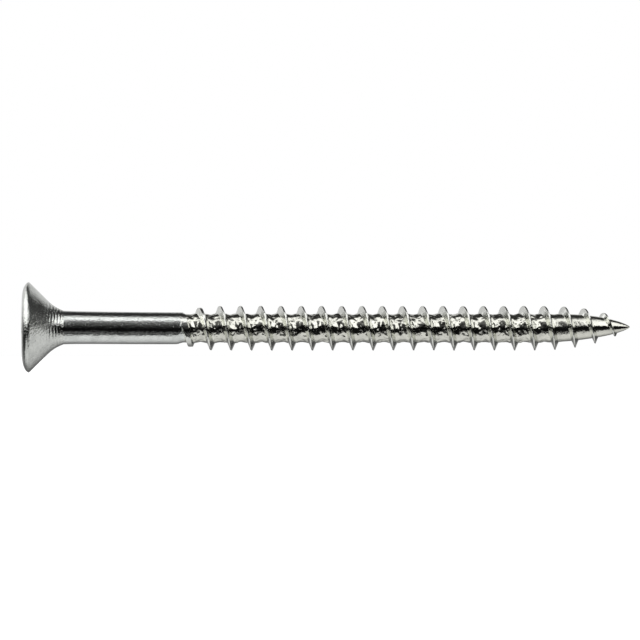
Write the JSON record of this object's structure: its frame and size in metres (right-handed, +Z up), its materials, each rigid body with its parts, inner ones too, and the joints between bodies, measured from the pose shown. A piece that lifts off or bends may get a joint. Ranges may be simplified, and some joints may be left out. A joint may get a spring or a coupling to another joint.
{
  "type": "wood screw",
  "caption": "Countersunk wood screw with a cross recess, plain shank, coarse right-hand thread and gimlet point, for joining timber and boards.",
  "frame": {"origin": "centre of the head's flush face, on the screw's axis", "axes": "+X along the screw's axis from the head to the point, +Z up, +Y across. The wings of the cross recess lie along Y and Z"},
  "size_m": [0.06, 0.0088, 0.0088],
  "materials": {
    "head_plate": "bright zinc plate on pressed steel, with faint die marks",
    "shank_plate": "bright zinc plate on drawn wire, smooth with a fine grain",
    "core_plate": "bright zinc plate on rolled steel, lightly hammered",
    "thread_plate": "bright zinc plate on rolled thread, sharp bright crests"
  },
  "bodies": {
    "root": {"head": "head_plate", "neck": "head_plate", "shank": "shank_plate", "shoulder": "shank_plate", "core": "core_plate", "thread_start": "thread_plate", "thread": "thread_plate", "point": "core_plate", "point_thread": "thread_plate"}
  },
  "joints": []
}
